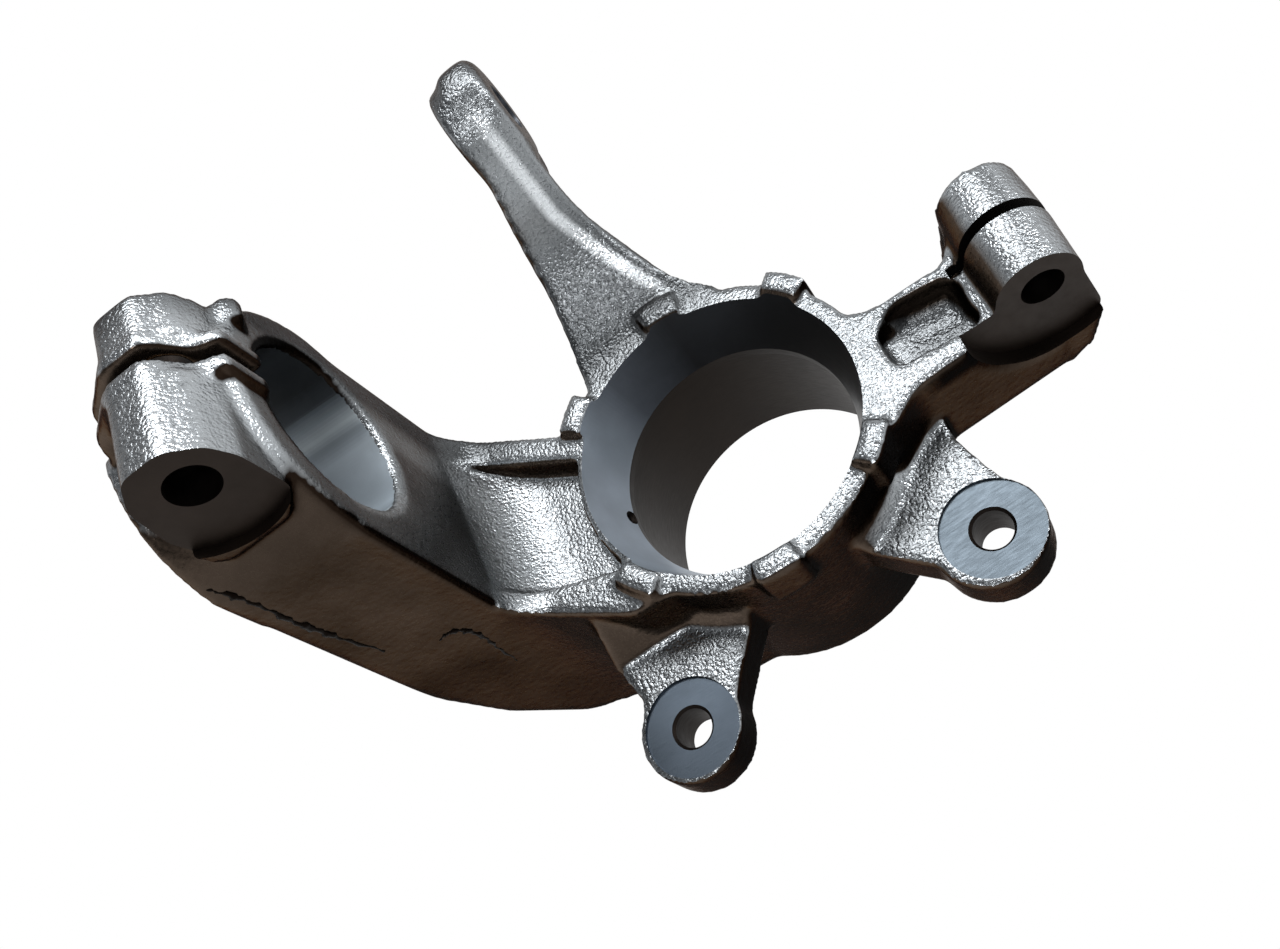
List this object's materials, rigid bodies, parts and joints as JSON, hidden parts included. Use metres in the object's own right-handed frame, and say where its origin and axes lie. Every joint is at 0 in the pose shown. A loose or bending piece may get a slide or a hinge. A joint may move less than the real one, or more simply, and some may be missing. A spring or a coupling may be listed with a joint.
{
  "type": "steering knuckle",
  "caption": "Cast steering knuckle with a wheel bearing bore, a split strut clamp, a split ball-joint clamp, a steering arm with a taper eye and caliper ears.",
  "frame": {"origin": "middle of the wheel bearing's seat, on its axis", "axes": "+Z along the wheel bearing's axis, pointing inboard; +X along the line of the caliper ears, towards the ball joint; +Y towards the steering arm"},
  "size_m": [0.2245, 0.2011, 0.2002],
  "materials": {
    "cast_iron": "coarse as-cast iron with a dull silver glint, and bluish-grey machined bores and faces"
  },
  "bodies": {
    "root": {"steering_knuckle": "cast_iron"}
  },
  "joints": []
}
